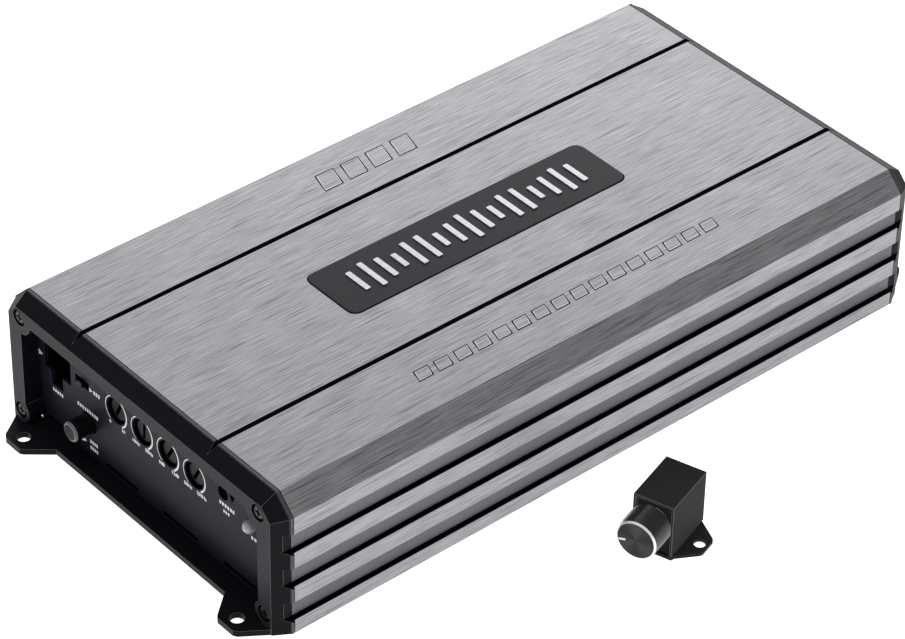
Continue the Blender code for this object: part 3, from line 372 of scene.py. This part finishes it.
class Solid:
    """Shapes gathered in one mesh, in metres."""

    def __init__(self):
        self.mesh = bmesh.new()

    def prism(self, outline, place, thickness):
        """A flat outline in the place's XY plane, raised along its Z."""
        low = [self.mesh.verts.new(place @ Vector((x, y, 0))) for x, y in outline]
        high = [self.mesh.verts.new(place @ Vector((x, y, thickness))) for x, y in outline]
        self.mesh.faces.new(low[::-1])
        self.mesh.faces.new(high)
        for i in range(len(outline)):
            j = (i + 1) % len(outline)
            self.mesh.faces.new((low[i], low[j], high[j], high[i]))

    def text(self, words, height, place, thickness):
        """Plain numbers or signs about the place's origin, in its XY plane."""
        curve = bpy.data.curves.new("text", "FONT")
        curve.body = words
        curve.size = height
        curve.align_x = "CENTER"
        curve.align_y = "CENTER"
        curve.extrude = thickness / 2
        curve.offset = height * TEXT_BOLDNESS
        curve.resolution_u = 2
        holder = bpy.data.objects.new("text", curve)
        bpy.context.scene.collection.objects.link(holder)
        bpy.context.view_layer.update()
        evaluated = holder.evaluated_get(bpy.context.evaluated_depsgraph_get())
        made = bpy.data.meshes.new_from_object(evaluated)
        made.transform(place @ Matrix.Translation((0, 0, thickness / 2)))
        self.mesh.from_mesh(made)
        bpy.data.objects.remove(holder)
        bpy.data.curves.remove(curve)
        bpy.data.meshes.remove(made)

    def to_mesh(self, name):
        """The finished mesh. The solid can't be added to after this."""
        bmesh.ops.remove_doubles(self.mesh, verts=self.mesh.verts, dist=FINE_WELD)
        bmesh.ops.recalc_face_normals(self.mesh, faces=self.mesh.faces)
        mesh = bpy.data.meshes.new(name)
        self.mesh.to_mesh(mesh)
        self.mesh.free()
        return mesh


def arc(centre, radius, start_deg, end_deg, steps):
    """Points along a circle's arc, both ends included."""
    points = []
    for step in range(steps + 1):
        angle = math.radians(start_deg + (end_deg - start_deg) * step / steps)
        points.append((centre[0] + radius * math.cos(angle), centre[1] + radius * math.sin(angle)))
    return points


def rounded_rectangle(width, height, radius, steps=6):
    """An outline about the origin, with so many steps round each corner."""
    x, y = width / 2 - radius, height / 2 - radius
    points = []
    for corner_x, corner_y, start in ((x, y, 0), (-x, y, 90), (-x, -y, 180), (x, -y, 270)):
        points += arc((corner_x, corner_y), radius, start, start + 90, steps)
    return points


def on_front(y, z):
    """A place on the control panel's face: for someone facing it, X runs right and Y up."""
    turn = Matrix(((0, 0, -1, 0), (-1, 0, 0, 0), (0, 1, 0, 0), (0, 0, 0, 1)))
    return Matrix.Translation((PANEL_X, y, z)) @ turn


def on_rear(y, z):
    """The same, for someone facing the connector panel."""
    turn = Matrix(((0, 0, 1, 0), (1, 0, 0, 0), (0, 1, 0, 0), (0, 0, 0, 1)))
    return Matrix.Translation((REAR_PANEL_X, y, z)) @ turn


def flat(x, y, z=LID_Z):
    """A level place, on the lid unless a height is given."""
    return Matrix.Translation((x, y, z))


# ------------------------------------------------------------------------ badge

BADGE_CORNER = 4.0 * MM
BADGE_PLATE_TOP = 0.4 * MM  # above the lid
BAR_COUNT = 17
BAR_PITCH = 6.6 * MM
BAR_WIDTH = 2.4 * MM
BAR_CORNER = 0.5 * MM
BAR_SINK = 0.2 * MM  # how far the bars reach into the plate
SHORTEST_HALF_BAR = 3.4 * MM
HALF_BAR_SWING = 4.6 * MM
SWING_PER_BAR = 0.9  # radians


def badge():
    """The name plate: a dark sheet with a bright ornament of upright bars in place of letters."""
    low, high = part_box("badge_plate")
    top = LID_Z + BADGE_PLATE_TOP
    plate = Solid()
    outline = rounded_rectangle(high.x - low.x, high.y - low.y, BADGE_CORNER)
    plate.prism(outline, flat(0, 0, low.z), top - low.z)
    name = "badge_plate_refined"
    mesh = plate.to_mesh(name)
    made = piece(name, mesh, "badge_black", "amplifier", ["badge_plate"])
    bevelled(made, 0.25 * MM, segments=3)
    bars = Solid()
    for i in range(BAR_COUNT):
        step = i - (BAR_COUNT - 1) / 2
        half = SHORTEST_HALF_BAR + HALF_BAR_SWING * abs(math.cos(SWING_PER_BAR * step))
        bar = rounded_rectangle(BAR_WIDTH, 2 * half, BAR_CORNER, 3)
        bars.prism(bar, flat(step * BAR_PITCH, 0, top - BAR_SINK), high.z - top + BAR_SINK)
    mesh = bars.to_mesh("badge_bars")
    made = piece("badge_bars", mesh, "bright_letter", "amplifier")
    bevelled(made, 0.12 * MM)


# ------------------------------------------------------------------ lid ornament

# Widths: the painted shade that draws each cut, and the painted highlight inside it
ORNAMENT_PAINTED_SHADE_LINE = 0.5 * MM
ORNAMENT_PAINTED_HIGHLIGHT = 0.25 * MM
ORNAMENT_LEAN = 0.28  # shift along X for each unit of height
# Each row: first X, last X, lower Y, upper Y in millimetres, and how many outlines it has
ORNAMENT_ROWS = ((-27.0, 21.0, 50.5, 60.5, 4), (-72.5, 74.5, -58.0, -52.2, 16))
ORNAMENT_FILL = 0.74  # an outline's share of its pitch


def outline_frame(solid, corners, place, inset, width):
    """A closed band inside a four-cornered outline."""
    centre = Vector((sum(x for x, y in corners) / 4, sum(y for x, y in corners) / 4))

    def shrunk(distance):
        points = []
        for x, y in corners:
            toward_x = math.copysign(distance, x - centre.x)
            toward_y = math.copysign(distance, y - centre.y)
            points.append((x - toward_x, y - toward_y))
        return points

    outer, inner = shrunk(inset), shrunk(inset + width)
    for i in range(4):
        j = (i + 1) % 4
        solid.prism([outer[i], outer[j], inner[j], inner[i]], place, PRINT)


def lid_ornament():
    """Outlined slanted bars, where the lid has cut words: each cut is a frame of painted shade, with a
    frame of painted highlight beside it.
    """
    cuts, edges = Solid(), Solid()
    for first, last, low, high, count in ORNAMENT_ROWS:
        pitch = (last - first) / count
        for i in range(count):
            left, right = first + pitch * i, first + pitch * (i + ORNAMENT_FILL)
            corners = []
            for x, y in ((left, low), (right, low), (right, high), (left, high)):
                corners.append(((x + ORNAMENT_LEAN * (y - low)) * MM, y * MM))
            outline_frame(cuts, corners, flat(0, 0), 0, ORNAMENT_PAINTED_SHADE_LINE)
            outline_frame(edges, corners, flat(0, 0), ORNAMENT_PAINTED_SHADE_LINE, ORNAMENT_PAINTED_HIGHLIGHT)
    shapes = (("lid_cut_painted_shade", cuts, "dark_groove"), ("lid_cut_painted_highlight", edges, "bright_letter"))
    for name, solid, look in shapes:
        piece(name, solid.to_mesh(name), look, "amplifier")


# ---------------------------------------------------------- control panel marks

DIAL_ARC_RADIUS = 6.0 * MM
DIAL_ARC_THIN = 0.22 * MM
DIAL_ARC_THICK = 0.75 * MM
DIAL_ARC_DEG = (236, -56)
DIAL_ARC_STEPS = 40
DIAL_LABELS = {
    "gain": ("0", "10"),
    "subsonic": ("10Hz", "50Hz"),
    "bass": ("0dB", "12dB"),
    "low_pass": ("50Hz", "250Hz"),
}
# The labels' middles from the dial's, in millimetres: to the left and right, and down
LABEL_OFFSETS = (3.7, -4.1)
LABEL_DROP = 6.7
LABEL_HEIGHT = 2.1 * MM


def dial_scale(marks, name):
    """An arc that widens clockwise, with its range printed at its ends."""
    y, z = middle(f"{name}_dial").y, middle(f"{name}_dial").z
    inner, outer = [], []
    for step in range(DIAL_ARC_STEPS + 1):
        share = step / DIAL_ARC_STEPS
        angle = math.radians(DIAL_ARC_DEG[0] + (DIAL_ARC_DEG[1] - DIAL_ARC_DEG[0]) * share)
        width = DIAL_ARC_THIN + (DIAL_ARC_THICK - DIAL_ARC_THIN) * share
        for points, radius in ((inner, DIAL_ARC_RADIUS), (outer, DIAL_ARC_RADIUS + width)):
            points.append((radius * math.cos(angle), radius * math.sin(angle)))
    place = on_front(y, z)
    for i in range(DIAL_ARC_STEPS):
        marks.prism([inner[i], inner[i + 1], outer[i + 1], outer[i]], place, PRINT)
    for label, offset in zip(DIAL_LABELS[name], LABEL_OFFSETS):
        marks.text(label, LABEL_HEIGHT, on_front(y + offset * MM, z - LABEL_DROP * MM), PRINT)


WORD_BAR_FILL = 0.66  # a bar's share of its pitch
WORD_BAR_CORNER = 0.15 * MM


def bars_in_place_of_words(marks, place, width, height, count):
    """A label's place, filled by a plain row of short bars."""
    pitch = width / count
    for i in range(count):
        x = -width / 2 + pitch * (i + 0.5)
        bar = rounded_rectangle(pitch * WORD_BAR_FILL, height, WORD_BAR_CORNER, 2)
        marks.prism([(x + a, b) for a, b in bar], place, PRINT)


def triangle(marks, place, size):
    """A small triangle that points right."""
    marks.prism([(-size / 2, -size / 2), (size / 2, 0), (-size / 2, size / 2)], place, PRINT)


# Labels on the control panel in millimetres: middle across and up, width, height, bars
PANEL_LABELS = (
    (58.1, 20.3, 6.6, 1.5, 5),
    (39.7, 23.3, 12.8, 1.6, 9),
    (36.9, 9.6, 5.0, 1.6, 4),
    (36.9, 6.7, 5.0, 1.6, 4),
    (33.7, 34.4, 4.2, 1.7, 3),
    (-42.3, 32.2, 8.9, 1.6, 6),
    (-41.9, 29.3, 3.8, 1.3, 3),
    (-57.3, 27.6, 3.4, 1.4, 2),
)
# Small triangles: middle across and up, size
PANEL_TRIANGLES = ((67.8, 32.9, 2.6), (42.8, 8.2, 3.2), (37.0, 34.3, 1.9))


def panel_marks():
    """White prints on the control panel."""
    marks = Solid()
    for name in DIALS:
        dial_scale(marks, name)
    for y, z, width, height, count in PANEL_LABELS:
        bars_in_place_of_words(marks, on_front(y * MM, z * MM), width * MM, height * MM, count)
    for y, z, size in PANEL_TRIANGLES:
        triangle(marks, on_front(y * MM, z * MM), size * MM)
    name = "control_panel_marks"
    piece(name, marks.to_mesh(name), "white_print", "amplifier")


# ------------------------------------------------------------- connector panel marks

TERMINAL_SIGNS = ("+", "\u2212", "1", "+", "\u2212")
SIGN_HEIGHT = 4.0 * MM
SIGN_ABOVE_TERMINALS = 4.5 * MM
FUSE_LABEL = (12 * MM, 1.8 * MM, 7)  # width, height, bars


def connector_marks():
    """A sign over each terminal, and a plain bar where the fuses' label is."""
    marks = Solid()
    signs_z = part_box("terminal_block")[1].z + SIGN_ABOVE_TERMINALS
    for number, sign in enumerate(TERMINAL_SIGNS, 1):
        marks.text(sign, SIGN_HEIGHT, on_rear(middle(f"terminal_screw_{number}").y, signs_z), PRINT)
    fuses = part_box("fuse_holder")
    place = on_rear((fuses[0].y + fuses[1].y) / 2, fuses[1].z + SIGN_ABOVE_TERMINALS)
    bars_in_place_of_words(marks, place, *FUSE_LABEL)
    name = "connector_panel_marks"
    piece(name, marks.to_mesh(name), "white_print", "amplifier")


# ----------------------------------------------------------------- level control

KNOB_RADIUS = 8.0 * MM
KNOB_LENGTH = 11.9 * MM
KNOB_CHAMFER = 0.65 * MM
KNOB_BACK_CHAMFER = 0.6 * MM
KNOB_SHARP_DEG = 20  # edges sharper than this aren't shaded smooth
KNOB_FACE_MIDDLE = 0.2 * MM  # radius of the small disc that closes the face
KNOB_SIDES = 96
KNOB_TO_PLATE = 2.0 * MM  # from the knob's back to the front plate
POINTER_REACH = (4.2 * MM, 7.0 * MM)
POINTER_WIDTH = 0.9 * MM
POINTER_DEG = 195.6


def knob_place():
    """The knob's own frame: +Z runs out of its face, and +X is level."""
    turn = JOINTS["level_knob_turn"]
    out = Vector(turn["axis"])
    level = Vector((0, 0, 1)).cross(out).normalized()
    up = out.cross(level)
    axes = Matrix((level, up, out)).transposed().to_4x4()
    start = Vector(turn["pos_m"])
    return Matrix.Translation(start) @ axes


def lathe(name, rings, sides):
    """A closed turned shape. Each ring is a radius, a height and the look of the band above it."""
    work = bmesh.new()
    loops = []
    for radius, height, _ in rings:
        loop = []
        for i in range(sides):
            angle = 2 * math.pi * i / sides
            loop.append(work.verts.new((radius * math.cos(angle), radius * math.sin(angle), height)))
        loops.append(loop)
    for (low, high), (_, _, look) in zip(zip(loops, loops[1:]), rings):
        for i in range(sides):
            j = (i + 1) % sides
            face = work.faces.new((low[i], low[j], high[j], high[i]))
            face.material_index = look
            face.smooth = True
    work.faces.new(loops[0][::-1])
    top = work.faces.new(loops[-1])
    top.material_index = rings[-1][2]
    mesh = bpy.data.meshes.new(name)
    work.to_mesh(mesh)
    work.free()
    return mesh


def level_knob():
    """The turned knob: black sides, a bright chamfer, and a spun face with painted sheen and a white
    pointer.
    """
    place = knob_place()
    centre = place.inverted() @ middle("remote_knob")
    back, front = centre.z - KNOB_LENGTH / 2, centre.z + KNOB_LENGTH / 2
    side, chamfer, face = 0, 1, 2
    rings = [
        (KNOB_RADIUS - KNOB_BACK_CHAMFER, back, side),
        (KNOB_RADIUS, back + KNOB_BACK_CHAMFER, side),
        (KNOB_RADIUS, front - KNOB_CHAMFER, chamfer),
        (KNOB_RADIUS - KNOB_CHAMFER, front, face),
        (KNOB_FACE_MIDDLE, front, face),
    ]
    name = "remote_knob_refined"
    mesh = lathe(name, rings, KNOB_SIDES)
    # The face's look has painted sheen in its colour.
    looks = ["black_anodised", "bright_chamfer", "turned_black"]
    made = piece(name, mesh, looks, "level_knob", ["remote_knob"], place)
    split = made.modifiers.new("edges", "EDGE_SPLIT")
    split.split_angle = math.radians(KNOB_SHARP_DEG)
    pointer = Solid()
    near, far = POINTER_REACH
    half = POINTER_WIDTH / 2
    bar = [(near, -half), (far, -half), (far, half), (near, half)]
    lean = Matrix.Rotation(math.radians(POINTER_DEG), 4, "Z")
    pointer.prism(bar, place @ Matrix.Translation((0, 0, front)) @ lean, PRINT)
    name = "remote_knob_pointer"
    piece(name, pointer.to_mesh(name), "white_print", "level_knob")


# Marks on the front plate, from the knob's axis, in millimetres: across and up
FAN_MARK = (-5.2, 5.7)
FAN_BLADES = 4
FAN_REACH = 1.2 * MM
FAN_BLADE_HALF_WIDTH = 0.45 * MM
BAR_MARK = (3.2, 6.5)
BAR_MARK_SIZE = (2.9 * MM, 1.0 * MM, 3)  # width, height, bars


def level_control_marks():
    """White marks on the level control's front plate: a small fan and a short bar."""
    place = knob_place()
    knob_back = (place.inverted() @ middle("remote_knob")).z - KNOB_LENGTH / 2
    plate = place @ Matrix.Translation((0, 0, knob_back - KNOB_TO_PLATE))
    marks = Solid()
    across, up = FAN_MARK
    centre = plate @ Matrix.Translation((across * MM, up * MM, 0))
    blade = [(0.0, 0.0), (FAN_REACH, -FAN_BLADE_HALF_WIDTH), (FAN_REACH, FAN_BLADE_HALF_WIDTH)]
    for i in range(FAN_BLADES):
        marks.prism(blade, centre @ Matrix.Rotation(math.tau * i / FAN_BLADES, 4, "Z"), PRINT)
    across, up = BAR_MARK
    centre = plate @ Matrix.Translation((across * MM, up * MM, 0))
    bars_in_place_of_words(marks, centre, *BAR_MARK_SIZE)
    name = "remote_marks"
    piece(name, marks.to_mesh(name), "white_print", "level_control")


def keep_level_control_out_of_reflections():
    """Hides the level control, which lies right beside the fins, from what mirrors it."""
    for obj in bpy.context.scene.objects:
        if obj.name.startswith("remote_") and not obj.name.startswith("remote_socket"):
            obj.visible_glossy = False


# --------------------------------------------------------------- stage and camera

CAMERA_PLACE = (-0.7573, -0.8575, 0.9118)
CAMERA_AZIMUTH = -41.185
CAMERA_ELEVATION = 38.044
CAMERA_ROLL = 1.163
CAMERA_LENS = 153.9
FLOOR_SIZE = 12.0
FLOOR_GLOW = 0.9  # keeps the ground white under and beside the object
ROOM_LIGHT = 0.47
# Softboxes: direction, distance, size, radiance
BEHIND = ((0.52, 0.59, 0.25), 2.3, 1.7, 2.2)
OVERHEAD = ((-0.12, -0.05, 1.0), 2.2, 1.6, 3.0)


def camera():
    """The camera, turned about the object by an azimuth and an elevation, then rolled."""
    azimuth, elevation, roll = map(math.radians, (CAMERA_AZIMUTH, CAMERA_ELEVATION, CAMERA_ROLL))
    back = Vector(
        (
            math.sin(azimuth) * math.cos(elevation),
            -math.cos(azimuth) * math.cos(elevation),
            math.sin(elevation),
        )
    )
    right = Vector((0, 0, 1)).cross(back).normalized()
    up = back.cross(right)
    rolled_right = right * math.cos(roll) + up * math.sin(roll)
    rolled_up = up * math.cos(roll) - right * math.sin(roll)
    data = bpy.data.cameras.new("camera")
    data.lens = CAMERA_LENS
    data.clip_end = 50
    obj = bpy.data.objects.new("camera", data)
    bpy.context.scene.collection.objects.link(obj)
    turn = Matrix((rolled_right, rolled_up, back)).transposed().to_4x4()
    obj.matrix_world = Matrix.Translation(CAMERA_PLACE) @ turn
    bpy.context.scene.camera = obj


def floor():
    """A plain pale floor with a slight glow."""
    mesh = bpy.data.meshes.new("floor")
    half = FLOOR_SIZE / 2
    corners = [(-half, -half, 0), (half, -half, 0), (half, half, 0), (-half, half, 0)]
    mesh.from_pydata(corners, [], [(0, 1, 2, 3)])
    obj = bpy.data.objects.new("floor", mesh)
    bpy.context.scene.collection.objects.link(obj)
    look = Look("floor", (0.7, 0.7, 0.7), 0.9, specular=0.1)
    look.value("Emission Color", (1, 1, 1, 1))
    look.value("Emission Strength", FLOOR_GLOW)
    mesh.materials.append(look.material)


def softbox(name, direction, distance, size, radiance):
    """A square light that faces the object from a direction."""
    data = bpy.data.lights.new(name, "AREA")
    data.shape = "SQUARE"
    data.size = size
    data.energy = radiance * math.pi * size * size
    obj = bpy.data.objects.new(name, data)
    bpy.context.scene.collection.objects.link(obj)
    toward = Vector(direction).normalized()
    obj.location = toward * distance
    obj.rotation_euler = toward.to_track_quat("Z", "Y").to_euler()


def lights():
    """A dim room, a large box behind that the lid mirrors, and one overhead that whitens the floor."""
    world = bpy.data.worlds.new("studio")
    bpy.context.scene.world = world
    world.use_nodes = True
    background = world.node_tree.nodes["Background"]
    background.inputs["Color"].default_value = (1, 1, 1, 1)
    background.inputs["Strength"].default_value = ROOM_LIGHT
    softbox("behind", *BEHIND)
    softbox("overhead", *OVERHEAD)


# ------------------------------------------------------------------------ build

FIN_LAND_Y = 79.5 * MM  # faces outside this are the fins' lands
FIN_BAND_Y = 77.8 * MM  # faces between this and the lands are the recessed bands
FIN_SLOT_Y = 75.0 * MM  # faces between this and the bands are the slots' sides and floors
FIN_TOP_Z = 52.0 * MM  # the fins are below this, and the chamfer above
LID_EDGE_Y = 70.0 * MM  # the lid is inside this
LID_GROOVE_DEPTHS = (0.1 * MM, 2.5 * MM)  # below the lid, the depths where a groove's faces lie
CAP_LIP_X = 148.0 * MM  # the caps' lips over the tunnel are inside this
CAP_FACE_X = 153.3 * MM  # the caps' outer faces are outside this


def heatsink_look(centre, normal):
    """Brushed lands and lid, smooth dark bands, and painted shade: black in the slots and grooves."""
    if centre.z < FIN_TOP_Z and abs(centre.y) > FIN_SLOT_Y and abs(normal.x) < 0.5:
        if abs(centre.y) < FIN_BAND_Y:
            # the slots' sides and floors: painted shade, black
            return "dark_groove"
        if abs(centre.y) < FIN_LAND_Y:
            return "fin_band"
    elif abs(centre.y) < LID_EDGE_Y:
        shallowest, deepest = LID_GROOVE_DEPTHS
        if LID_Z - deepest < centre.z < LID_Z - shallowest:
            # the lid grooves' walls and floors: painted shade, black
            return "dark_groove"
    return None


def cap_look(centre, normal):
    """The cast caps: a smoother, shinier lip at the joint and a rim face, both painted lighter than the
    casting as if lit.
    """
    if abs(centre.x) < CAP_LIP_X and abs(normal.x) < 0.5:
        # a smoother, shinier lip, painted lighter as if lit
        return "cap_lip_painted_light"
    if abs(normal.x) > 0.9 and abs(centre.x) > CAP_FACE_X:
        # painted light: a lighter copy of the casting on the faces turned along X
        return "painted_light_rim_face"
    return None


# The slots and lid grooves are painted black as painted shade; the bevels take the brushed metal.
refined("heatsink_shell", 0.3 * MM, choose=heatsink_look, edge_look="brushed_aluminium")
# The caps' rounded edges get a painted highlight.
for cap_name in ("front_end_cap", "rear_end_cap"):
    refined(cap_name, 0.3 * MM, choose=cap_look, edge_look="painted_highlight_edge")

# The rest of the refined nodes, and how wide their edges are in millimetres
EDGES = {
    "bottom_plate": 0.2,
    "control_panel": 0.12,
    "connector_panel": 0.2,
    "input_socket": 0.2,
    "filter_switch_slider": 0.15,
    "terminal_block": 0.3,
    "fuse_holder": 0.3,
    "remote_jack": 0.2,
}
for edge_node, edge_width in EDGES.items():
    refined(edge_node, edge_width * MM)
# The level control's rounded edges get a painted highlight.
for sheet_node in ("remote_cover", "remote_base"):
    refined(sheet_node, 0.25 * MM, edge_look="powder_painted_highlight_edge")
# The button's rounded edge gets a painted highlight.
refined("level_button", 0.35 * MM, edge_look="painted_highlight_edge")
for dial_name in DIALS:
    refined(f"{dial_name}_dial", 0.12 * MM)
for end in ("front", "rear"):
    for number in range(1, 5):
        refined(f"{end}_cap_screw_{number}", 0.1 * MM)

def lamp_look(centre, normal):
    """The status light's lens is frosted all over."""
    return "frosted_grey"


refined("status_led", 0.3 * MM, choose=lamp_look)

badge()
lid_ornament()
panel_marks()
connector_marks()
level_knob()
level_control_marks()
keep_level_control_out_of_reflections()
floor()
lights()
camera()
bpy.context.scene.view_settings.view_transform = "Standard"
